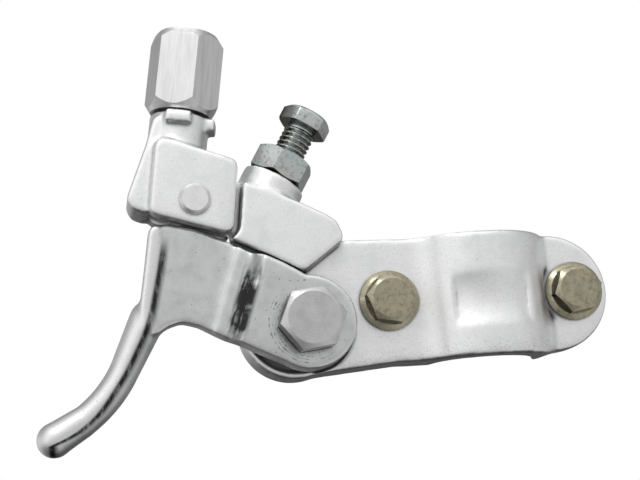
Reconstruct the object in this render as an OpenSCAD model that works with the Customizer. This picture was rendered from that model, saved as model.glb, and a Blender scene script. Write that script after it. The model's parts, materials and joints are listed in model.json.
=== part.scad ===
// Clutch lever on its handlebar perch, with swivelling cable head, cable adjuster and lever stop.
// Millimetres, Z up. The origin is the middle of the handlebar bore. X runs along the line of the
// two clamp bolts, Z along the handlebar, and the rider-facing side is toward -Y.

/* [Handlebar clamp] */
// Radius of the bar bore
bar_r = 12.7; // [12.7:0.05:12.8]
// Outer radius of the saddle over the bar
saddle_r = 19; // [18.6:0.1:19.4]
// Distance of each clamp bolt from the bar centre
bolt_x = 24; // [23.8:0.1:24.4]
// Front of the pad under the bolt beside the pivot
inner_pad_y = -12; // [-12.4:0.1:-11.6]
// Front of the pad under the outer bolt
outer_pad_y = -7; // [-7.4:0.1:-6.6]
// Gap between the two clamp halves
clamp_gap = 1.5; // [1.2:0.1:1.8]

/* [Lever] */
// Radius of the eye that turns on the pivot
eye_r = 11.1; // [11:0.05:11.2]
// Thickness of the eye
eye_t = 7.5; // [7.4:0.1:7.6]
// Radius of the round finger
finger_r = 3.55; // [3.45:0.05:3.6]
// Radius of the ball at the finger tip
tip_r = 4.15; // [4.15:0.05:4.3]
// Radius of the curve the finger follows
finger_bend_r = 31.1; // [30.8:0.1:31.4]

/* [Pivot] */
// Pivot bolt shank radius
pivot_shank_r = 4; // [4:0.01:4.02]
// Outside radius of the bush in the eye
bush_r = 6; // [5.9:0.05:6.1]
// Radial running clearance of the bush on the bolt
run_clear = 0.05; // [0.03:0.01:0.08]

/* [Cable head] */
// Radius of the round neck under the adjuster
neck_r = 7.2; // [7.1:0.05:7.3]
// Lean of the cable line from the handlebar direction
cable_tilt = 10; // [9.8:0.1:10.2]
// Radius of the swivel pin
pin_r = 2; // [1.9:0.05:2.1]

/* [Adjuster] */
// Hexagon width across the flats
adjuster_af = 15.8; // [15.6:0.1:16]
// Length of the hexagon
adjuster_len = 20.3; // [20:0.1:20.8]

/* [Lever stop] */
// Lean of the stop screw from the handlebar direction
stop_tilt = 31.7; // [31.5:0.1:31.9]
// Radius of the stop screw thread
stop_r = 3.9; // [3.8:0.05:4]
// Free length between lock nut and screw head
stop_free = 7.9; // [7.6:0.1:8.2]

/* [Hidden] */
$fn = 96;

slack = 0.05;
far = 80;

half_split = clamp_gap / 2;
clamp_bottom = -14.5;
clamp_belly = 1.2;
clamp_top = 14.6;
pad_top = 15.1;
clamp_end_r = (clamp_top - clamp_bottom) / 2;
clamp_mid_z = (clamp_top + clamp_bottom) / 2;
clamp_right = 32.8;
clamp_left = -33;

pivot = [-44.5, -4.5];
eye_front = -19.2;
eye_back = eye_front + eye_t;
hub_r = 5.5;
washer_t = 1;
hub_front = eye_back + washer_t + 0.1;
skirt_at = [-46.9, -3.6];
skirt_r = 13;
pocket_r = 11.2;
skirt_front = -9.3;
floor_front = -2.2;
floor_back = 1;
eye_gap = 0.4;

web_front = -16.2;
web_back = -10;
panel_depth = 0.75;
panel_end = 3.6;
rib_w = 2.5;
lever_left = [[-80, 21.2], [-81.6, 12], [-83.5, 2], [-83, -3.6]];
joggle_tilt = 20.5;
joggle_foot = [-59.9, 4];
joggle_run = eye_t - (web_back - web_front) + 1.7;

finger_y = -11.8;
bend_centre = [-115.1, 3.05];
finger_start = -27.8;
finger_sweep = 33.4;
barrel_at = [-76, 16.6];
barrel_r = 2.8;

head_y = -10.5;
ear_front = -18.4;
ear_t = 4.9;
ear_fold = [-63.6, 22];
head_pin_at = [-69, 26.2];
neck_top = [-70.4, 48.3];
nose_r = 4.6;

stop_y = -9;
stop_top = [-48.5, 31.9];
arm_front = -17.1;
boss_r = 7.8;
stop_nut_h = 6.5;
stop_head_h = 3.9;
stop_reach = 18.9;

spring_r = 7.5;
wire_r = 0.7;
spring_turns = 5;

// Metal colours
module cast_silver() { color([0.80, 0.81, 0.82]) children(); }
module polished() { color([0.70, 0.71, 0.73]) children(); }
module turned_steel() { color([0.62, 0.63, 0.65]) children(); }
module olive_zinc() { color([0.55, 0.50, 0.32]) children(); }
module blue_zinc() { color([0.62, 0.70, 0.72]) children(); }
module bronze() { color([0.70, 0.52, 0.30]) children(); }
module spring_steel() { color([0.35, 0.36, 0.38]) children(); }

// Circumradius of a hexagon from its width across flats
function hex_r(af) = af / 2 / cos(30);

// A flat outline in X and Z given thickness between two Y values
module slab(front, back) {
  translate([0, back, 0])
    rotate([90, 0, 0])
      linear_extrude(back - front)
        children();
}

// A round bar along Y, centred on a point in X and Z
module post(at, front, back, r) {
  translate([at[0], back, at[1]])
    rotate([90, 0, 0])
      cylinder(h = back - front, r = r);
}

// A round cone along Y, front radius then back radius
module cone_post(at, front, back, r_front, r_back) {
  translate([at[0], back, at[1]])
    rotate([90, 0, 0])
      cylinder(h = back - front, r1 = r_back, r2 = r_front);
}

// Puts children on an axis leaning from Z toward X, with local Z along the axis
module leaning(at, y, tilt) {
  translate([at[0], y, at[1]])
    rotate([0, tilt, 0])
      children();
}

// Outline with its corners rounded, outward corners only
module soften(r) {
  offset(r = r, $fn = 40)
    offset(delta = -r)
      children();
}

// Turned envelope of a hexagon: a cone at each rim that is asked for. A cut is measured along the
// axis at the corners, and slope is how fast the cone narrows.
module rim_envelope(r, h, top_cut, bottom_cut, slope) {
  margin = 1;
  top_h = top_cut + margin / slope;
  bottom_h = bottom_cut > 0 ? bottom_cut + margin / slope : 0;
  if (bottom_cut > 0)
    cylinder(h = bottom_h, r1 = r - slope * bottom_cut, r2 = r + margin);
  translate([0, 0, bottom_h])
    cylinder(h = h - top_h - bottom_h, r = r + margin);
  translate([0, 0, h - top_h])
    cylinder(h = top_h, r1 = r + margin, r2 = r - slope * top_cut);
}

// Hexagon with its rims turned off to cones, standing on Z = 0
module hex_block(af, h, spin = 0, top_cut = 0.8, bottom_cut = 0, slope = 1.8) {
  intersection() {
    rotate([0, 0, spin])
      cylinder(h = h, r = hex_r(af), $fn = 6);
    rim_envelope(hex_r(af), h, top_cut, bottom_cut, slope);
  }
}

// Ring standing on Z = 0
module ring(outer, inner, h) {
  difference() {
    cylinder(h = h, r = outer);
    translate([0, 0, -1])
      cylinder(h = h + 2, r = inner);
  }
}

// ---- Handlebar clamp -------------------------------------------------------

// Front view of the clamp: straight at the lever end, round at the far end
module clamp_front_view() {
  polygon([
    [clamp_left, clamp_bottom], [13.5, clamp_bottom - clamp_belly],
    [clamp_right - clamp_end_r, clamp_bottom], [clamp_right - clamp_end_r, clamp_top],
    [0, clamp_top], [-16, pad_top], [clamp_left, pad_top]
  ]);
  translate([clamp_right - clamp_end_r, clamp_mid_z])
    circle(clamp_end_r);
}

// Outline with its inward corners filled
module fill_in(r) {
  offset(r = -r)
    offset(delta = r)
      children();
}

// Section across the bar of the front half
module clamp_section() {
  difference() {
    soften(1.5)
      union() {
        fill_in(10) {
          circle(saddle_r);
          translate([clamp_left - 4, inner_pad_y])
            square([-clamp_left + 4, -inner_pad_y]);
        }
        fill_in(2) {
          circle(saddle_r);
          translate([0, outer_pad_y])
            square([clamp_right + 4, -outer_pad_y]);
        }
      }
    translate([-far, -half_split])
      square([2 * far, far]);
  }
}

module bar_hole() {
  translate([0, 0, -far / 2])
    cylinder(h = far, r = bar_r, $fn = 160);
}

module clamp_front() {
  intersection() {
    slab(-far / 2, far / 2)
      clamp_front_view();
    translate([0, 0, -far / 2])
      linear_extrude(far)
        clamp_section();
  }
}

// Rear half of the clamp, tapped for both bolts
module clamp_cap() {
  cap_t = 5.5;
  cap_half_h = 11.6;
  cap_r = saddle_r - 1;
  cast_silver()
    difference() {
      intersection() {
        slab(-far / 2, far / 2)
          soften(3)
            intersection() {
              clamp_front_view();
              translate([clamp_left + 1, -cap_half_h])
                square([far, 2 * cap_half_h]);
            }
        translate([0, 0, -far / 2])
          linear_extrude(far)
            difference() {
              union() {
                circle(cap_r);
                translate([clamp_left, 0])
                  square([clamp_right - clamp_left, cap_t + half_split + 3]);
              }
              translate([-far, -far + half_split])
                square([2 * far, far]);
            }
      }
      bar_hole();
      for (side = [-1, 1])
        post([side * bolt_x, 0], -far / 2, far / 2, 3 + slack);
    }
}

// Flanged hexagon bolt, head toward the rider
module clamp_bolt(x, seat, spin) {
  flange_r = 7.25;
  head_af = 10.8;
  olive_zinc()
    union() {
      translate([x, seat, 0])
        rotate([90, 0, 0]) {
          cylinder(h = 0.9, r = flange_r);
          translate([0, 0, 0.9])
            cylinder(h = 0.7, r1 = flange_r, r2 = hex_r(head_af) - 0.2);
          hex_block(head_af, 5.1, spin, 0.85);
        }
      post([x, 0], seat, 10, 3);
      cone_post([x, 0], 10, 11, 3, 2.2);
    }
}

module clamp_bolt_inner() { clamp_bolt(-bolt_x, inner_pad_y, 48); }
module clamp_bolt_outer() { clamp_bolt(bolt_x, outer_pad_y, 9); }

// ---- Perch -----------------------------------------------------------------

// Shallow channel pressed round the saddle, deepest along its middle
module saddle_channel() {
  depth = 1.1;
  sweep_r = 20;
  mid_z = -1.7;
  rotate([0, 0, -119])
    rotate_extrude(angle = 60)
      translate([saddle_r - depth + sweep_r, mid_z])
        circle(sweep_r);
}

// Plate joining the clamp to the pivot skirt
module web_view() {
  polygon([
    [-19, clamp_bottom], [-43.5, -16.1], [-44, -12], [-44, 8],
    [-40, 13], [-33, 15.7], [-19, pad_top]
  ]);
}

// Raised arm carrying the stop boss
module arm_view() {
  soften(2)
    polygon([
      [-33.9, 15], [-44.6, 7.6], [-49, 10.2], [-54, 12.9], [-61.5, 16.9],
      [-61, 27], [-59.4, 31.4], [-50.1, 27.5], [-43.9, 24.6], [-37.8, 21.2], [-35.5, 19.4]
    ]);
}

// Nose between the two ears of the cable head
module nose_view() {
  translate(head_pin_at)
    circle(nose_r);
  polygon([
    [head_pin_at[0] + 1, head_pin_at[1] + nose_r - 0.1], [-56, 31],
    [-50, 22], [-56, 16.2], [-61.5, 18.8],
    [head_pin_at[0] - 1.6, head_pin_at[1] - nose_r + 0.3]
  ]);
}

// Plain round body around the pivot that hides the return spring
module skirt() {
  post(skirt_at, skirt_front, floor_back, skirt_r);
}

module stop_axis() { leaning(stop_top, stop_y, stop_tilt) children(); }
module cable_axis() { leaning(neck_top, head_y, cable_tilt) children(); }

// Room for the ears of the cable head to swing
module ear_room() {
  for (gap = [[-far / 2, ear_front + ear_t + 0.05], [head_y * 2 - ear_front - ear_t - 0.05, far / 2]])
    slab(gap[0], gap[1])
      offset(delta = 1.4)
        ear_view();
}

module perch() {
  cast_silver()
    difference() {
      union() {
        clamp_front();
        slab(inner_pad_y, -half_split)
          web_view();
        slab(arm_front, -half_split)
          arm_view();
        slab(ear_front + ear_t + 0.1, head_y * 2 - ear_front - ear_t - 0.1)
          nose_view();
        skirt();
        stop_axis()
          translate([0, 0, -8])
            cylinder(h = 8, r = boss_r);
      }
      // spring pocket and room for the eye
      difference() {
        post(skirt_at, skirt_front - 0.01, floor_front, pocket_r);
        post(pivot, hub_front, floor_front + 1, hub_r);
      }
      difference() {
        post(pivot, -far, skirt_front, eye_r + eye_gap);
        post(pivot, hub_front, skirt_front + 1, hub_r);
      }
      post(pivot, -far, far, pivot_shank_r + 0.08);
      ear_room();
      // passages
      bar_hole();
      saddle_channel();
      for (side = [-1, 1])
        post([side * bolt_x, 0], -far / 2, far / 2, 3.3);
      post([-bolt_x, 0], -far / 2, inner_pad_y, 7.5);
      post([bolt_x, 0], -far / 2, outer_pad_y, 8.9);
      post(head_pin_at, -far, far, pin_r + run_clear);
      cable_axis()
        translate([0, 0, -40])
          cylinder(h = 60, r = 1.7, $fn = 32);
      stop_axis()
        translate([0, 0, -40])
          cylinder(h = 60, r = stop_r + slack);
    }
}

// ---- Lever and pivot -------------------------------------------------------

// Front view of the lever: the eye and the web that reaches the finger
module lever_view() {
  translate(pivot)
    circle(eye_r);
  soften(2.1)
    polygon(concat(
      [[-44.5, 6.7], [-49, 9.6], [-54, 12.3], [-61.5, 16.3], [-69.5, 20.2], [-75.8, 21.6]],
      lever_left,
      [[-80.2, -4.8], [-77.3, -2.9], [-74.1, -2], [-70.3, -3.1], [-65.8, -5.8], [-59.7, -9],
       [-52, -13], [-44.5, -15.7]]
    ));
}

// Everything on the eye side of the joggle, with the sloping face between the two levels
module joggle_wedge() {
  leaning(joggle_foot, 0, joggle_tilt)
    translate([0, 0, -far / 2])
      linear_extrude(far)
        polygon([
          [0, web_front], [joggle_run, eye_front], [far, eye_front],
          [far, eye_back], [joggle_run, eye_back], [0, web_back]
        ]);
}

// Shallow panel in the lever face: a rib stays on the left, and it runs out above and below
module panel_view() {
  soften(1.5)
    intersection() {
      polygon(concat(
        [[0, far], lever_left[0] + [rib_w, far]],
        [for (p = lever_left) p + [rib_w, 0]],
        [lever_left[3] + [rib_w, -far], [0, -far]]
      ));
      translate(joggle_foot)
        rotate(-joggle_tilt)
          translate([-2 * far - panel_end, -1.5 * far])
            square([2 * far, 3 * far]);
    }
}

// Point on the line of the finger's bend
function on_bend(angle) = [
  bend_centre[0] + finger_bend_r * cos(angle), finger_y, bend_centre[1] + finger_bend_r * sin(angle)
];

// Round finger: a taper out of the web, one bend, then a swelling tip with a ball end
module finger() {
  root_l = 12.5;
  root_r = 4.3;
  swell_l = 8;
  tip_angle = finger_start - finger_sweep;
  translate(on_bend(finger_start + 0.5))
    rotate([0, -finger_start, 0]) {
      cylinder(h = root_l, r1 = finger_r + 0.05, r2 = root_r);
      translate([0, 0, root_l])
        sphere(root_r - 0.05, $fn = 64);
    }
  translate([bend_centre[0], finger_y, bend_centre[1]])
    rotate([90, 0, 0])
      rotate([0, 0, tip_angle])
        rotate_extrude(angle = finger_sweep, $fn = 180)
          translate([finger_bend_r, 0])
            circle(finger_r, $fn = 48);
  translate(on_bend(tip_angle + 5.5))
    rotate([0, 180 - tip_angle, 0]) {
      cylinder(h = swell_l, r1 = finger_r + 0.1, r2 = tip_r - 0.1);
      translate([0, 0, swell_l])
        sphere(tip_r, $fn = 64);
    }
}

// Slot from the barrel to the top of the web, wide enough for the cable at every lever angle
module cable_fan() {
  reach = 20;
  half_w = 1.6;
  swing = 28;
  translate(barrel_at) {
    for (lean = [cable_tilt, cable_tilt + swing])
      rotate(-lean)
        translate([-half_w, 0])
          square([2 * half_w, reach]);
    polygon([
      [0, 0],
      [reach * sin(cable_tilt), reach * cos(cable_tilt)],
      [reach * sin(cable_tilt + swing), reach * cos(cable_tilt + swing)]
    ]);
  }
}

module lever() {
  polished()
    difference() {
      union() {
        difference() {
          slab(web_front, web_back)
            lever_view();
          leaning(joggle_foot, 0, joggle_tilt)
            translate([0, -far / 2, -far / 2])
              cube([far, far, far]);
        }
        intersection() {
          slab(eye_front, web_back)
            lever_view();
          joggle_wedge();
        }
        finger();
      }
      slab(web_front - 1, web_front + panel_depth)
        panel_view();
      post(pivot, -far, far, bush_r + 0.02);
      // seat of the cable barrel, open to the back, with a fan-shaped slot for the cable
      post(barrel_at, head_y - 3.4, far, barrel_r + run_clear);
      slab(head_y - 1.6, far)
        cable_fan();
      // hole for the spring leg
      post(spring_leg_at(), eye_back - 2.5, far, wire_r + 0.15);
    }
}

function spring_leg_at() = [pivot[0] + spring_r * cos(150), pivot[1] + spring_r * sin(150)];

module pivot_bolt() {
  turned_steel()
    union() {
      translate([pivot[0], eye_front - 0.15, pivot[1]])
        rotate([90, 0, 0]) {
          cylinder(h = 0.6, r = 6.9);
          translate([0, 0, 0.5])
            hex_block(13.7, 5.2, 6, 1);
        }
      post(pivot, eye_front - 0.2, 11.6, pivot_shank_r);
      cone_post(pivot, 11.6, 12.6, pivot_shank_r, pivot_shank_r - 1);
    }
}

module pivot_bush() {
  bronze()
    translate([pivot[0], eye_back + 0.05, pivot[1]])
      rotate([90, 0, 0])
        ring(bush_r, pivot_shank_r + run_clear, eye_t + 0.15);
}

module pivot_washer() {
  bronze()
    translate([pivot[0], hub_front - 0.01, pivot[1]])
      rotate([90, 0, 0])
        ring(6.5, pivot_shank_r + 0.1, washer_t);
}

// Torsion spring wound round the hub, one leg into the eye and one down on the floor
module return_spring() {
  first = floor_front - wire_r - 0.25;
  step = 1.3;
  last = first - step * (spring_turns - 1);
  spring_steel()
    union() {
      for (i = [0:spring_turns - 1])
        translate([pivot[0], first - step * i, pivot[1]])
          rotate([90, 0, 0])
            rotate_extrude()
              translate([spring_r, 0])
                circle(wire_r, $fn = 24);
      post(spring_leg_at(), eye_back - 2, last, wire_r, $fn = 24);
    }
}

module pivot_lock_washer() {
  turned_steel()
    translate([pivot[0], floor_back + 1.7, pivot[1]])
      rotate([90, 0, 0])
        difference() {
          ring(6.8, pivot_shank_r + 0.1, 1.65);
          translate([0, -0.5, -1])
            cube([8, 1, 4]);
        }
}

module pivot_nut() {
  turned_steel()
    translate([pivot[0], floor_back + 8.2, pivot[1]])
      rotate([90, 0, 0])
        difference() {
          hex_block(13, 6.45, 12, 0.8, 0.8);
          translate([0, 0, -1])
            cylinder(h = 10, r = pivot_shank_r + slack);
        }
}

module cable_barrel() {
  bronze()
    difference() {
      post(barrel_at, head_y - 3.2, head_y + 3.2, barrel_r);
      // way for the cable, and a wider seat under it for the soldered nipple
      leaning(barrel_at, head_y, cable_tilt) {
        translate([0, 0, -1])
          cylinder(h = 10, r = 1, $fn = 32);
        translate([0, 0, -10])
          cylinder(h = 10, r = 1.8, $fn = 32);
      }
    }
}

// ---- Cable head and adjuster -----------------------------------------------

// Front ear, a leaning block with rounded corners
module ear_view() {
  soften(2.4)
    polygon([[-79.9, 23.6], [-77, 42.6], [-57.8, 35.4], [-60.5, 17.3]]);
}

// Shell that joins the two ears on the left and carries the neck
module shell_view() {
  soften(2)
    polygon([
      [-77, 48], [-79.3, 41], [-84.8, 28], [-83.6, 25.4], [-81, 24.2],
      [-77.2, 24.4], [-75.4, 36], [-62.5, 33], [-61.5, 46]
    ]);
}

// Two small cast lugs under the adjuster, a quarter turn apart
module neck_lugs() {
  for (turn = [-95, -8])
    rotate([0, 0, turn])
      translate([neck_r - 1, -3.1, -3.3])
        cube([2.6, 6.2, 3.2]);
}

module cable_head() {
  ear_back = head_y * 2 - ear_front;
  cast_silver()
    difference() {
      union() {
        cable_axis() {
          translate([0, 0, -13])
            cylinder(h = 13, r = neck_r);
          neck_lugs();
        }
        slab(ear_front, ear_front + ear_t)
          ear_view();
        slab(ear_back - ear_t, ear_back)
          ear_view();
        intersection() {
          slab(ear_front + 2.1, ear_back)
            shell_view();
          leaning(neck_top, head_y, 20)
            translate([-3.6, 0, -40])
              scale([1.25, 1, 1])
                cylinder(h = 50, r = neck_r);
        }
      }
      // slot for the nose of the perch
      slab(ear_front + ear_t, ear_back - ear_t)
        difference() {
          translate([-79.6, 0])
            square([40, 34]);
          translate([-85, 32.4])
            square([60, 10]);
        }
      // the last strip of the front ear falls away a little
      leaning(ear_fold, ear_front, 8.3)
        rotate([0, 0, 7])
          translate([0, -5, -far / 2])
            cube([12, 5, far]);
      // thread for the adjuster, then a narrow way for the cable
      cable_axis() {
        translate([0, 0, -12])
          cylinder(h = 30, r = 4.5 + slack);
        translate([0, 0, -60])
          cylinder(h = 60, r = 2, $fn = 32);
      }
      post(head_pin_at, -far, far, pin_r + slack);
    }
}

module head_pin() {
  turned_steel()
    union() {
      cone_post(head_pin_at, ear_front - 1.5, ear_front - 0.8, 3, 3.7);
      post(head_pin_at, ear_front - 0.8, ear_front, 3.7);
      post(head_pin_at, ear_front - 0.1, head_y * 2 - ear_front + 2.2, pin_r);
    }
}

module head_pin_washer() {
  turned_steel()
    translate([head_pin_at[0], head_y * 2 - ear_front + 1.2, head_pin_at[1]])
      rotate([90, 0, 0])
        ring(4.2, pin_r + 0.02, 1.1);
}

// Hexagonal sleeve screwed into the neck
module adjuster() {
  lift = 0.6;
  turned_steel()
    cable_axis()
      difference() {
        union() {
          translate([0, 0, lift])
            hex_block(adjuster_af, adjuster_len, 44, 2.6, 2.6, 0.7);
          translate([0, 0, -10])
            cylinder(h = 11 + lift, r = 4.5);
        }
        translate([0, 0, -12])
          cylinder(h = 60, r = 1.8, $fn = 48);
        translate([0, 0, adjuster_len + lift - 9])
          cylinder(h = 12, r = 4);
      }
}

// Cup that takes the end of the cable casing
module adjuster_ferrule() {
  top = adjuster_len + 0.2;
  turned_steel()
    cable_axis()
      difference() {
        translate([0, 0, top - 8.5])
          cylinder(h = 8.5, r = 3.95);
        translate([0, 0, top - 7])
          cylinder(h = 8, r = 2.6);
        translate([0, 0, top - 9])
          cylinder(h = 8, r = 1.2, $fn = 32);
      }
}

// ---- Lever stop ------------------------------------------------------------

module stop_screw() {
  neck = stop_nut_h + stop_free + 0.4;
  blue_zinc()
    stop_axis()
      union() {
        translate([0, 0, neck])
          hex_block(11.6, stop_head_h, 5, 0.8);
        translate([0, 0, -stop_reach + 5])
          cylinder(h = neck + stop_reach - 5, r = stop_r);
        translate([0, 0, -stop_reach])
          cylinder(h = 6, r = 2.6);
      }
}

module stop_lock_nut() {
  blue_zinc()
    stop_axis()
      difference() {
        translate([0, 0, 0.3])
          hex_block(13, stop_nut_h, 16.5, 0.7, 0.7);
        translate([0, 0, -1])
          cylinder(h = 10, r = stop_r + slack);
      }
}

perch();
clamp_cap();
clamp_bolt_inner();
clamp_bolt_outer();
lever();
pivot_bolt();
pivot_bush();
pivot_washer();
return_spring();
pivot_lock_washer();
pivot_nut();
cable_barrel();
cable_head();
head_pin();
head_pin_washer();
adjuster();
adjuster_ferrule();
stop_screw();
stop_lock_nut();
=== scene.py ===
"""Clutch lever on its handlebar perch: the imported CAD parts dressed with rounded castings, a real screw
thread and metal finishes, under a light tent."""

import json
import math

import bpy
from mathutils import Matrix, Vector


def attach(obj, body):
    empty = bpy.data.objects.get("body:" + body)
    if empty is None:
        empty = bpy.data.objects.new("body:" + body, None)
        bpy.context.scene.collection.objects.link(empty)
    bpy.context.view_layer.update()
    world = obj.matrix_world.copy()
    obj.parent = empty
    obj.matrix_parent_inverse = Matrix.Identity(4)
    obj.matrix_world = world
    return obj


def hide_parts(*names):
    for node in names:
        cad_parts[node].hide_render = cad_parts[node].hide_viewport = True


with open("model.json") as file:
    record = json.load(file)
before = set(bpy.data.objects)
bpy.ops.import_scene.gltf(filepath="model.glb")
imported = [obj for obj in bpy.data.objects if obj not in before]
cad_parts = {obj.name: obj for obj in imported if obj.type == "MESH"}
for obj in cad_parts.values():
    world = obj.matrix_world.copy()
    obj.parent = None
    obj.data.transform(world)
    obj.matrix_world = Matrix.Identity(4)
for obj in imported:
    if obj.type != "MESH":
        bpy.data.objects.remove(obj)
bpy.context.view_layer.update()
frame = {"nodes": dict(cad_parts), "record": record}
NODES = frame["nodes"]
MM = 0.001

# Where the axes of the leaning parts stand, in millimetres and degrees
STOP_TOP = Vector((-48.5, -9.0, 31.9))
STOP_TILT = 31.7
CABLE_TILT = 10.0
PIVOT = (-44.5, 0, -4.5)
JOGGLE_FOOT = (-59.9, 0, 4.0)
JOGGLE_TILT = 20.5
# Radius just outside the handlebar bore, whose axis is Z
BORE_R = 13.0
# Height and X of points along the crease beside the lever's left rim and down the finger, measured on
# the photograph through the solved camera
RIM_CREASE = (
    (-28.1, -105.6), (-22.9, -96.0), (-16.4, -90.4), (-8.7, -85.5), (-1.8, -82.1), (7.8, -79.3), (18.0, -77.0)
)


# ---- Materials ---------------------------------------------------------------


class Graph:
    """A node tree with short calls to add, join and do arithmetic."""

    def __init__(self, tree):
        self.tree = tree

    def add(self, kind, **settings):
        node = self.tree.nodes.new(kind)
        for key, value in settings.items():
            setattr(node, key, value)
        return node

    def link(self, source, socket):
        self.tree.links.new(source, socket)

    def math(self, operation, a, b=0.0):
        node = self.add("ShaderNodeMath", operation=operation)
        for socket, x in zip(node.inputs, (a, b)):
            if isinstance(x, (int, float)):
                socket.default_value = x
            else:
                self.link(x, socket)
        return node.outputs[0]


class Finish(Graph):
    """One procedural metal: a Principled shader and the helpers that feed it."""

    def __init__(self, name, colour, rough):
        self.mat = bpy.data.materials.new(name)
        self.mat.use_nodes = True
        super().__init__(self.mat.node_tree)
        self.shader = self.tree.nodes["Principled BSDF"]
        self.shader.inputs["Metallic"].default_value = 1.0
        self.coords = self.add("ShaderNodeTexCoord").outputs["Object"]
        self.colour = self.rgb(colour)
        self.rough = self.value(rough)
        self.height = None

    def value(self, number):
        node = self.add("ShaderNodeValue")
        node.outputs[0].default_value = number
        return node.outputs[0]

    def rgb(self, colour):
        node = self.add("ShaderNodeRGB")
        node.outputs[0].default_value = (*colour, 1.0)
        return node.outputs[0]

    def place(self, scale=(1, 1, 1), turn=(0, 0, 0), at=(0, 0, 0)):
        """Object coordinates in millimetres, moved to a point, turned, then stretched."""
        steps = (
            ((1 / MM,) * 3, (0, 0, 0), [-v for v in at]),
            ((1, 1, 1), [math.radians(a) for a in turn], (0, 0, 0)),
            (scale, (0, 0, 0), (0, 0, 0)),
        )
        where = self.coords
        for size, angles, shift in steps:
            node = self.add("ShaderNodeMapping", vector_type="POINT")
            self.link(where, node.inputs["Vector"])
            node.inputs["Scale"].default_value = size
            node.inputs["Rotation"].default_value = angles
            node.inputs["Location"].default_value = shift
            where = node.outputs[0]
        return where

    def split(self, vector):
        node = self.add("ShaderNodeSeparateXYZ")
        self.link(vector, node.inputs[0])
        return node.outputs["X"], node.outputs["Y"], node.outputs["Z"]

    def noise(self, where, size, detail=3.0, contrast=0.5):
        node = self.add("ShaderNodeTexNoise")
        self.link(where, node.inputs["Vector"])
        node.inputs["Scale"].default_value = 1 / size
        node.inputs["Detail"].default_value = detail
        node.inputs["Roughness"].default_value = contrast
        return node.outputs["Fac"]

    def times(self, *signals):
        product = signals[0]
        for signal in signals[1:]:
            product = self.math("MULTIPLY", product, signal)
        return product

    def distance(self, a, b):
        return self.math("SQRT", self.math("ADD", self.times(a, a), self.times(b, b)))

    def band(self, signal, low, high, out_low=0.0, out_high=1.0):
        """Signal mapped from low..high to out_low..out_high, held at both ends."""
        node = self.add("ShaderNodeMapRange", clamp=True)
        self.link(signal, node.inputs["Value"])
        for name, x in zip(("From Min", "From Max", "To Min", "To Max"), (low, high, out_low, out_high)):
            node.inputs[name].default_value = x
        return node.outputs[0]

    def between(self, signal, low, high, soft):
        """One inside low..high, fading to zero over the soft width outside."""
        rise = self.band(signal, low - soft, low)
        fall = self.band(signal, high + soft, high)
        return self.math("MULTIPLY", rise, fall)

    def tint(self, mask, colour):
        """Mixes a colour in where the mask is high."""
        node = self.add("ShaderNodeMix", data_type="RGBA")
        self.link(mask, node.inputs[0])
        self.link(self.colour, node.inputs[6])
        node.inputs[7].default_value = (*colour, 1.0)
        self.colour = node.outputs[2]

    def roughen(self, mask, amount):
        self.rough = self.math("ADD", self.rough, self.math("MULTIPLY", mask, amount))

    def raise_by(self, signal, height_mm):
        """Adds a signal to the surface height, in millimetres."""
        lift = self.math("MULTIPLY", signal, height_mm * MM)
        self.height = lift if self.height is None else self.math("ADD", self.height, lift)

    def done(self):
        self.link(self.colour, self.shader.inputs["Base Color"])
        self.link(self.rough, self.shader.inputs["Roughness"])
        if self.height is not None:
            bump = self.add("ShaderNodeBump")
            bump.inputs["Distance"].default_value = 1.0
            self.link(self.height, bump.inputs["Height"])
            self.link(bump.outputs[0], self.shader.inputs["Normal"])
        return self.mat


def mottle(f, light, dark, size):
    """Slow patches of lighter and darker metal with a little difference in gloss."""
    patch = f.noise(f.place(), size, 4.0, 0.6)
    f.tint(f.band(patch, 0.5, 0.75), light)
    f.tint(f.band(patch, 0.5, 0.3), dark)
    f.roughen(patch, 0.06)


def scratches(f, turn, width, length, depth, limit, seed=0.0):
    """Fine straight scratches along one direction."""
    where = f.place(scale=(1 / length, 1 / width, 1 / width), turn=turn, at=(seed, seed, seed))
    lines = f.band(f.noise(where, 1.0, 1.0), limit, limit + 0.08)
    f.roughen(lines, 0.12)
    f.raise_by(lines, -depth)


def crevice_shade(f, colour, reach_mm, strength):
    """Painted shade: darkens the colour where the surface is closely hemmed in, read from ambient occlusion.
    """
    node = f.add("ShaderNodeAmbientOcclusion", samples=8)
    node.inputs["Distance"].default_value = reach_mm * MM
    hidden = f.band(node.outputs["AO"], 0.75, 0.2, 0.0, strength)
    # Painted shade in crevices and gaps between parts
    f.tint(hidden, colour)


def edge_wear_highlight_crease_shade(f, bright, dark, polish=0.06):
    """Rounded edges rubbed smooth and painted bright, part wear and part painted highlight; creases painted
    dark as painted shade.
    """
    curve = f.add("ShaderNodeNewGeometry").outputs["Pointiness"]
    worn_highlight = f.band(curve, 0.505, 0.530, 0.0, 0.8)
    # Painted highlight on the rounded edges, together with wear
    f.tint(worn_highlight, bright)
    f.roughen(worn_highlight, -polish)
    speckle = f.noise(f.place(at=(2, 6, 4)), 0.7, 3.0, 0.6)
    # Painted shade in the creases
    crease_shading = f.times(f.band(curve, 0.495, 0.470), f.band(speckle, 0.30, 0.62, 0.45, 1.0))
    f.tint(crease_shading, dark)


def flank_dark_reflection(f, colour, strength):
    """Painted dark reflection on the sides of a hexagon head that face left and down, broken up by noise."""
    x, y, _ = f.split(f.add("ShaderNodeTexCoord").outputs["Normal"])
    side = f.band(f.math("ABSOLUTE", y), 0.65, 0.45)
    patchiness = f.noise(f.place(at=(8, 3, 6)), 1.6, 4.0, 0.65)
    mask = f.times(side, f.band(x, 0.25, -0.25), f.band(patchiness, 0.25, 0.50, 0.60, strength))
    # Painted dark reflection on the flanks that face left
    f.tint(mask, colour)


def around_pivot(f):
    """Distance from the pivot line, and the sideways and upward parts of it."""
    x, _, z = f.split(f.place(at=PIVOT))
    return f.distance(x, z), x, z


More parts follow.
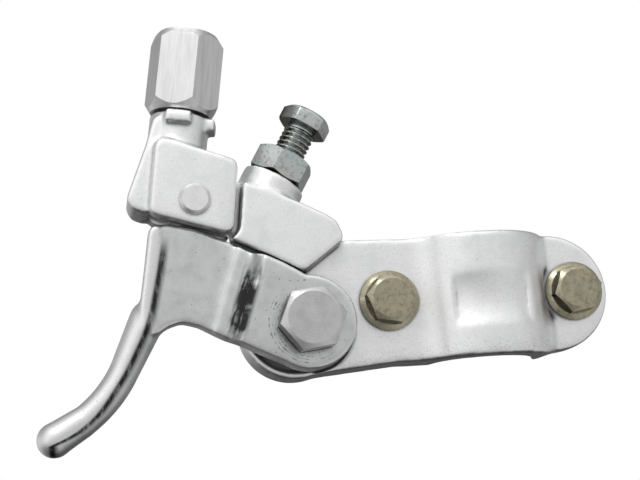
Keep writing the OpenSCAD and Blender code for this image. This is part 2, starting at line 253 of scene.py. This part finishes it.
def cast_aluminium():
    f = Finish("cast_aluminium", (0.93, 0.935, 0.935), 0.30)
    mottle(f, (0.97, 0.975, 0.975), (0.86, 0.865, 0.87), 5.0)
    grain = f.noise(f.place(), 0.35, 3.0, 0.6)
    f.raise_by(grain, 0.018)
    f.roughen(grain, 0.14)
    pits = f.band(f.noise(f.place(at=(3, 7, 1)), 0.9, 1.0), 0.765, 0.80)
    f.raise_by(pits, -0.03)
    f.tint(pits, (0.62, 0.62, 0.62))
    f.tint(f.band(f.noise(f.place(), 0.45, 2.0, 0.6), 0.54, 0.68), (0.82, 0.825, 0.825))
    specks = f.band(f.noise(f.place(at=(9, 2, 5)), 0.4, 2.0, 0.6), 0.56, 0.66)
    _, _, z = f.split(f.place())
    f.tint(f.times(specks, f.band(z, -10.5, -14.0, 0.0, 0.6)), (0.35, 0.35, 0.36))
    scratches(f, (10, 35, 20), 0.07, 7.0, 0.005, 0.69, 4.0)
    # Painted highlight on the edges, and painted shade in the creases, on faces that look down, in the bore
    # and in crevices
    edge_wear_highlight_crease_shade(f, (0.95, 0.95, 0.95), (0.60, 0.60, 0.605), 0.04)
    underside_and_bore_shade(f)
    crevice_shade(f, (0.12, 0.12, 0.125), 1.3, 0.8)
    return f.done()


def underside_and_bore_shade(f):
    """Painted shade on faces that look down, broken into patches by noise, and painted dark grey shade in the
    bore behind the saddle.
    """
    _, _, down = f.split(f.add("ShaderNodeTexCoord").outputs["Normal"])
    patchiness = f.noise(f.place(at=(5, 5, 1)), 1.8, 4.0, 0.6)
    # Painted shade on the faces that look down
    f.tint(f.times(f.band(down, -0.25, -0.75), f.band(patchiness, 0.30, 0.65, 0.55, 1.0)), (0.30, 0.30, 0.305))
    x, y, _ = f.split(f.place())
    # Painted shade in the bore
    f.tint(f.band(f.distance(x, y), BORE_R + 0.1, BORE_R - 0.1), (0.22, 0.22, 0.225))


def lever_aluminium():
    f = Finish("lever_aluminium", (0.66, 0.665, 0.67), 0.19)
    mottle(f, (0.72, 0.725, 0.73), (0.57, 0.575, 0.58), 4.0)
    grain = f.noise(f.place(), 0.25, 3.0, 0.6)
    f.raise_by(grain, 0.004)
    f.roughen(grain, 0.10)
    for i, turn in enumerate(((0, 25, 0), (0, 92, 0), (0, 84, 0), (0, 110, 10))):
        scratches(f, turn, 0.05, 5.0, 0.004, 0.66, 11.0 * i)
    nicks = f.band(f.noise(f.place(at=(1, 2, 9)), 0.7, 1.0), 0.735, 0.76)
    f.raise_by(nicks, -0.04)
    f.tint(nicks, (0.35, 0.35, 0.36))
    # Painted highlight on the edges and painted shade in the creases
    edge_wear_highlight_crease_shade(f, (0.86, 0.86, 0.86), (0.10, 0.10, 0.10))
    # Painted highlight on the left rim and painted dark reflection in the crease beside it
    rim_highlight_crease_reflection(f)
    joggle_dark_stripe(f)
    washer_marks(f)
    # Painted shade in crevices
    crevice_shade(f, (0.08, 0.08, 0.085), 1.0, 0.85)
    return f.done()


def rim_highlight_crease_reflection(f):
    """Painted highlight on the rim on the left of the lever, and a painted dark reflection as a line in the
    crease beside it.
    """
    x, _, z = f.split(f.place())
    bottom, top = RIM_CREASE[0][0], RIM_CREASE[-1][0]
    left, right = RIM_CREASE[0][1], RIM_CREASE[-1][1]
    guide = f.add("ShaderNodeFloatCurve")
    f.link(f.band(z, bottom, top), guide.inputs["Value"])
    points = guide.mapping.curves[0].points
    for height, at_x in RIM_CREASE[1:-1]:
        points.new((height - bottom) / (top - bottom), (at_x - left) / (right - left))
    guide.mapping.update()
    offset = f.math("SUBTRACT", x, f.band(guide.outputs[0], 0.0, 1.0, left, right))
    streak = f.noise(f.place(scale=(1, 1, 0.25), at=(3, 1, 8)), 1.1, 4.0, 0.65)
    # Painted highlight on the left rim
    f.tint(f.band(offset, -0.2, -1.0, 0.0, 0.85), (0.90, 0.90, 0.90))
    line = f.times(f.band(offset, -0.5, 0.1), f.band(offset, 2.1, 0.8), f.band(z, 18.5, 14.0))
    # Painted dark reflection along the crease, broken up by streaks
    f.tint(f.times(line, f.band(streak, 0.25, 0.50, 0.50, 1.0)), (0.035, 0.035, 0.037))


def joggle_dark_stripe(f):
    """Dark brushed stripe on the slope between the web and the eye."""
    across, _, along = f.split(f.place(turn=(0, -JOGGLE_TILT, 0), at=JOGGLE_FOOT))
    brushed = f.place(scale=(1.6, 0.1, 0.15), turn=(0, -JOGGLE_TILT, 0), at=JOGGLE_FOOT)
    streaks = f.noise(brushed, 1.0, 3.0, 0.65)
    patches = f.noise(f.place(at=(4, 4, 4)), 2.6, 3.0)
    inside = f.times(f.between(across, -0.1, 3.1, 1.1), f.between(along, -9.0, 4.0, 5.0))
    core = f.times(f.between(along, -6.5, 0.5, 4.0), 0.22)
    weight = f.math("ADD", f.math("ADD", streaks, patches), core)
    mask = f.times(f.band(weight, 0.80, 1.18), inside)
    f.tint(mask, (0.045, 0.045, 0.047))
    f.roughen(mask, 0.22)


def washer_marks(f):
    """Broken rub marks in arcs round the lower left of the pivot bolt."""
    radius, x, z = around_pivot(f)
    side = f.band(f.math("ADD", x, f.times(z, 0.6)), 1.0, -5.0)
    arcs = f.band(f.math("SINE", f.times(radius, 8.5)), 0.1, 0.8)
    speckle = f.noise(f.place(at=(6, 1, 3)), 1.2, 4.0, 0.7)
    mask = f.times(f.between(radius, 7.4, 9.8, 0.4), arcs, side, f.band(speckle, 0.50, 0.64, 0.0, 0.9))
    f.tint(mask, (0.06, 0.06, 0.06))
    f.roughen(mask, 0.2)


def turned_aluminium():
    f = Finish("turned_aluminium", (0.76, 0.76, 0.765), 0.27)
    along = (0, -CABLE_TILT, 0)
    streaks = f.noise(f.place(scale=(1, 1, 0.08), turn=along), 0.9, 4.0, 0.6)
    f.tint(f.band(streaks, 0.50, 0.72), (0.83, 0.83, 0.835))
    f.tint(f.band(streaks, 0.50, 0.30), (0.66, 0.66, 0.67))
    for size in (0.10, 0.30):
        lines = f.noise(f.place(scale=(1, 1, 0.03), turn=along), size, 2.0)
        f.raise_by(lines, 0.006)
        f.roughen(lines, 0.08)
    scratches(f, (0, -70, 0), 0.05, 3.0, 0.004, 0.70)
    # Painted shade in crevices
    crevice_shade(f, (0.12, 0.12, 0.12), 1.0, 0.8)
    return f.done()


def zinc_plate(name, colour, warm, cool, rough, grime, reach_mm):
    """Bright zinc plating whose passivation drifts between two tints, with stains, and painted shade in the
    corners.
    """
    f = Finish(name, colour, rough)
    patch = f.noise(f.place(), 2.3, 3.0)
    f.tint(f.band(patch, 0.50, 0.70), warm)
    f.tint(f.band(patch, 0.50, 0.32), cool)
    stain = f.band(f.noise(f.place(at=(5, 8, 2)), 1.1, 4.0, 0.7), 0.50, 0.66, 0.0, 0.65)
    f.tint(stain, grime)
    grain = f.noise(f.place(), 0.2, 2.0)
    f.raise_by(grain, 0.005)
    f.roughen(grain, 0.12)
    # Painted dark reflection on the left flanks and painted shade in crevices
    flank_dark_reflection(f, (0.035, 0.03, 0.022), 1.0)
    crevice_shade(f, (0.03, 0.028, 0.025), reach_mm, 0.9)
    return f.done()


def olive_zinc():
    tints = ((0.43, 0.395, 0.29), (0.47, 0.42, 0.31), (0.37, 0.355, 0.27))
    return zinc_plate("olive_zinc", *tints, 0.17, (0.22, 0.19, 0.12), 1.6)


def blue_zinc():
    tints = ((0.58, 0.61, 0.60), (0.52, 0.63, 0.61), (0.62, 0.62, 0.58))
    return zinc_plate("blue_zinc", *tints, 0.20, (0.20, 0.21, 0.19), 0.6)


def bright_steel():
    """Turned steel: faint rings round the pivot line, and an even grain."""
    f = Finish("bright_steel", (0.60, 0.60, 0.605), 0.22)
    mottle(f, (0.66, 0.66, 0.665), (0.53, 0.53, 0.535), 3.0)
    radius, _, _ = around_pivot(f)
    f.raise_by(f.math("SINE", f.times(radius, 9.0)), 0.003)
    f.raise_by(f.noise(f.place(), 0.2, 2.0), 0.006)
    scratches(f, (0, 40, 0), 0.05, 2.5, 0.005, 0.66)
    scratches(f, (0, -35, 0), 0.05, 2.5, 0.005, 0.66, 7.0)
    # Painted dark reflection on the left flanks and painted shade in crevices
    flank_dark_reflection(f, (0.035, 0.035, 0.035), 1.0)
    crevice_shade(f, (0.04, 0.04, 0.04), 1.8, 0.95)
    return f.done()


def satin_steel():
    f = Finish("satin_steel", (0.86, 0.86, 0.865), 0.30)
    mottle(f, (0.90, 0.90, 0.905), (0.80, 0.80, 0.81), 2.0)
    f.raise_by(f.noise(f.place(), 0.3, 3.0), 0.010)
    # Painted shade in crevices
    crevice_shade(f, (0.15, 0.15, 0.15), 0.8, 0.8)
    return f.done()


def bronze():
    f = Finish("bronze", (0.62, 0.42, 0.20), 0.30)
    mottle(f, (0.70, 0.50, 0.26), (0.50, 0.33, 0.16), 2.0)
    f.raise_by(f.noise(f.place(), 0.15, 2.0), 0.005)
    return f.done()


def spring_steel():
    f = Finish("spring_steel", (0.22, 0.225, 0.24), 0.32)
    f.raise_by(f.noise(f.place(), 0.15, 2.0), 0.006)
    f.roughen(f.noise(f.place(), 1.0), 0.15)
    return f.done()


FINISHES = (
    cast_aluminium, lever_aluminium, turned_aluminium, olive_zinc, blue_zinc, bright_steel, satin_steel,
    bronze, spring_steel,
)
SLOT_FINISH = {make.__name__: make() for make in FINISHES}
SLOT_OF = {s["node"]: s["material_slot"] for s in frame["record"]["subparts"]}


def dress(obj, slot):
    obj.data.materials.clear()
    obj.data.materials.append(SLOT_FINISH[slot])


# ---- Surfaces ----------------------------------------------------------------


def cast_skin(name, grid_mm, passes):
    """Rounds every edge of a casting: a fine even grid over the CAD shape, then smoothed."""
    obj = NODES[name]
    skin = obj.modifiers.new("skin", "REMESH")
    skin.mode = "VOXEL"
    skin.voxel_size = grid_mm * MM
    skin.use_smooth_shade = True
    soften = obj.modifiers.new("soften", "SMOOTH")
    soften.factor = 0.5
    soften.iterations = passes


def broken_edges(name, width_mm):
    """Takes the sharpness off the edges of a machined part."""
    obj = NODES[name]
    weld = obj.modifiers.new("weld", "WELD")
    weld.merge_threshold = 0.002 * MM
    edge = obj.modifiers.new("edge", "BEVEL")
    edge.width = width_mm * MM
    edge.segments = 3
    edge.limit_method = "ANGLE"
    edge.angle_limit = math.radians(25)
    edge.use_clamp_overlap = True
    smooth = obj.modifiers.new("shade", "WEIGHTED_NORMAL")
    smooth.keep_sharp = True


# Grid and smoothing passes of each casting
CASTINGS = {
    "perch": (0.38, 28),
    "clamp_cap": (0.45, 22),
    "lever": (0.32, 46),
    "cable_head": (0.30, 46),
}
coarser = 1.0
for name, (grid, passes) in CASTINGS.items():
    cast_skin(name, grid * coarser, round(passes / coarser**2))

EDGE_WIDTH = {
    "clamp_bolt_inner": 0.2,
    "clamp_bolt_outer": 0.2,
    "pivot_bolt": 0.3,
    "adjuster": 0.45,
    "stop_lock_nut": 0.3,
    "pivot_nut": 0.2,
    "head_pin": 0.15,
}
for name, width in EDGE_WIDTH.items():
    broken_edges(name, width)

for name, obj in NODES.items():
    dress(obj, SLOT_OF[name])


# ---- Stop screw with its thread -----------------------------------------------

THREAD_CREST = 3.88
THREAD_ROOT = 3.15
THREAD_PITCH = 1.25
THREAD_END = -18.9
# Plain neck between thread and head, and the tip that the thread tapers down to
NECK_R = 3.5
TIP_R = 2.6
TIP_SLOPE = 0.8
HEAD_FOOT = 14.85
HEAD_HEIGHT = 3.85
HEAD_FLATS = 11.6
HEAD_SPIN = 5.0
# How far the thread reaches into the head, and the power that rounds the hexagon into its cone
HEAD_SINK = 0.2
CORNER_BLEND = 16


def lathe(name, heights, radius_at, around):
    """Closed skin through rings at the given heights; radius_at(turn, z) shapes each ring."""
    points = []
    for z in heights:
        for j in range(around):
            turn = j / around
            r = radius_at(turn, z)
            points.append((r * math.cos(2 * math.pi * turn), r * math.sin(2 * math.pi * turn), z))
    faces = []
    for i in range(len(heights) - 1):
        for j in range(around):
            k = (j + 1) % around
            low, high = i * around, (i + 1) * around
            faces.append((low + j, low + k, high + k, high + j))
    faces.append(tuple(range(around))[::-1])
    faces.append(tuple((len(heights) - 1) * around + j for j in range(around)))
    mesh = bpy.data.meshes.new(name)
    mesh.from_pydata(points, [], faces)
    mesh.shade_smooth()
    mesh.set_sharp_from_angle(angle=math.radians(40))
    return mesh


def thread_radius(turn, z):
    """Shank radius on a helix, tapered at the tip and run out under the head."""
    phase = (z / THREAD_PITCH - turn) % 1.0
    flank = min(1.0, max(0.0, (abs(2 * phase - 1) - 0.10) / 0.75))
    r = THREAD_ROOT + (THREAD_CREST - THREAD_ROOT) * flank
    run_out = min(1.0, max(0.0, (z - HEAD_FOOT + 1.4) / 0.7))
    r += (NECK_R - r) * run_out
    return min(r, TIP_R + TIP_SLOPE * (z - THREAD_END))


def head_radius(turn, z):
    """Hexagon with slightly rounded corners, its top rim turned to a cone."""
    angle = math.radians(60)
    sector = (2 * math.pi * turn - math.radians(HEAD_SPIN)) % angle - angle / 2
    flat = HEAD_FLATS / 2 / math.cos(sector)
    corner = HEAD_FLATS / 2 / math.cos(angle / 2)
    above = z - HEAD_FOOT
    cone = corner - 0.12 - 1.5 * max(0.0, above - HEAD_HEIGHT + 0.75) - 0.6 * max(0.0, 0.35 - above)
    return (flat**-CORNER_BLEND + cone**-CORNER_BLEND) ** (-1 / CORNER_BLEND)


def on_stop_axis(mesh, name):
    """Stands a mesh made round Z in millimetres on the line of the stop screw."""
    lean = Matrix.Rotation(math.radians(STOP_TILT), 4, "Y")
    mesh.transform(Matrix.Translation(STOP_TOP * MM) @ lean @ Matrix.Scale(MM, 4))
    obj = bpy.data.objects.new(name, mesh)
    bpy.context.scene.collection.objects.link(obj)
    dress(obj, "blue_zinc")
    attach(obj, "stop_screw")
    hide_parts("stop_screw")


def stop_screw():
    rings_a_turn = 12
    length = HEAD_FOOT + HEAD_SINK - THREAD_END
    count = int(length / THREAD_PITCH * rings_a_turn)
    heights = [THREAD_END + length * i / count for i in range(count + 1)]
    on_stop_axis(lathe("stop_thread", heights, thread_radius, 60), "stop_thread")
    levels = (0.0, 0.05, 0.1, 0.2, 0.4, 0.6, 0.78, 0.82, 0.86, 0.9, 0.94, 0.97, 1.0)
    heights = [HEAD_FOOT + HEAD_HEIGHT * level for level in levels]
    on_stop_axis(lathe("stop_head", heights, head_radius, 144), "stop_head")


stop_screw()


# ---- Stage -------------------------------------------------------------------

# Soft glows of the light tent: azimuth (0 toward the camera, 90 to the right), elevation, strength.
# The strengths come from a least-squares fit to the photograph's tones; some were then changed.
GLOWS = (
    (0, -40, 0.11),
    (45, -40, 0.65),
    (0, 0, 0.25),
    (45, 0, 0.30),
    (90, 0, 0.49),
    (225, 0, 0.75),
    (135, 0, 0.28),
    (0, -75, 0.25),
    (180, 70, 0.40),
    (270, 0, 0.56),
    (315, 0, 0.80),
    (0, 40, 0.57),
    (45, 40, 0.68),
    (315, 40, 0.57),
    (22, 65, 0.44),
    (292, 65, 0.32),
    (150, 35, 0.12),
    (180, -20, 0.08),
)
GLOW_SPREAD = 6.0
# Point the area lights face, in millimetres
LIGHT_AIM = (-35.0, -5.0, 15.0)
# Floor in metres
FLOOR_HEIGHT = -0.125
FLOOR_RADIUS = 0.9
# Camera place in millimetres, its azimuth, rise and roll in degrees, and its lens in millimetres
CAMERA_AT = (-98.06, -345.51, -52.93)
CAMERA_TURN = (10.0, 11.5, 5.6)
CAMERA_LENS = 80.9


def toward(azimuth, elevation):
    az, el = math.radians(azimuth), math.radians(elevation)
    return (math.sin(az) * math.cos(el), -math.cos(az) * math.cos(el), math.sin(el))


def light_tent():
    """World that lights the metal: bright in front, above and to the left, dark to the right and below.
    The camera sees plain white behind the part."""
    world = bpy.data.worlds.new("tent")
    bpy.context.scene.world = world
    world.use_nodes = True
    world.node_tree.nodes.clear()
    g = Graph(world.node_tree)
    direction = g.add("ShaderNodeTexCoord").outputs["Generated"]

    total = 0.0
    for azimuth, elevation, strength in GLOWS:
        dot = g.add("ShaderNodeVectorMath", operation="DOT_PRODUCT")
        g.link(direction, dot.inputs[0])
        dot.inputs[1].default_value = toward(azimuth, elevation)
        falloff = g.math("MULTIPLY", g.math("SUBTRACT", dot.outputs["Value"], 1.0), GLOW_SPREAD)
        glow = g.math("MULTIPLY", g.math("EXPONENT", falloff), strength)
        total = g.math("ADD", glow, total)

    tent = g.add("ShaderNodeBackground")
    g.link(total, tent.inputs["Strength"])
    backdrop = g.add("ShaderNodeBackground")
    backdrop.inputs["Color"].default_value = (1, 1, 1, 1)
    seen = g.add("ShaderNodeLightPath").outputs["Is Camera Ray"]
    both = g.add("ShaderNodeMixShader")
    g.link(seen, both.inputs[0])
    g.link(tent.outputs[0], both.inputs[1])
    g.link(backdrop.outputs[0], both.inputs[2])
    g.link(both.outputs[0], g.add("ShaderNodeOutputWorld").inputs["Surface"])


def soft_box(name, at_mm, size_mm, watts):
    """Square area light at a point, facing the object."""
    light = bpy.data.lights.new(name, "AREA")
    light.shape = "SQUARE"
    light.size = size_mm * MM
    light.energy = watts
    obj = bpy.data.objects.new(name, light)
    bpy.context.scene.collection.objects.link(obj)
    obj.location = Vector(at_mm) * MM
    aim = Vector(LIGHT_AIM) * MM - obj.location
    obj.rotation_mode = "QUATERNION"
    obj.rotation_quaternion = aim.to_track_quat("-Z", "Y")


def floor():
    """Pale disc well below the part."""
    bpy.ops.mesh.primitive_circle_add(
        vertices=96, radius=FLOOR_RADIUS, fill_type="NGON", location=(0, 0, FLOOR_HEIGHT)
    )
    disc = bpy.context.object
    disc.name = "floor"
    disc.visible_glossy = False
    mat = bpy.data.materials.new("floor_paper")
    mat.use_nodes = True
    paper = mat.node_tree.nodes["Principled BSDF"]
    paper.inputs["Base Color"].default_value = (0.86, 0.86, 0.86, 1)
    paper.inputs["Roughness"].default_value = 0.8
    disc.data.materials.append(mat)


def camera():
    """The photograph's view: from the left and a little below, slightly rolled."""
    azimuth, rise, roll = (math.radians(a) for a in CAMERA_TURN)
    ahead = Vector((math.sin(azimuth) * math.cos(rise), math.cos(azimuth) * math.cos(rise), math.sin(rise)))
    right = Vector((math.cos(azimuth), -math.sin(azimuth), 0))
    up = right.cross(ahead)
    turned_right = right * math.cos(roll) - up * math.sin(roll)
    turned_up = right * math.sin(roll) + up * math.cos(roll)
    data = bpy.data.cameras.new("camera")
    data.sensor_width = 36.0
    data.lens = CAMERA_LENS
    data.clip_start = 0.01
    obj = bpy.data.objects.new("camera", data)
    bpy.context.scene.collection.objects.link(obj)
    turn = Matrix((turned_right, turned_up, -ahead)).transposed()
    obj.matrix_world = Matrix.Translation(Vector(CAMERA_AT) * MM) @ turn.to_4x4()
    bpy.context.scene.camera = obj


light_tent()
soft_box("key", (-150, -330, 400), 120, 0.22)
soft_box("top", (-40, 70, 320), 160, 0.08)
floor()
camera()
bpy.context.scene.view_settings.view_transform = "Standard"
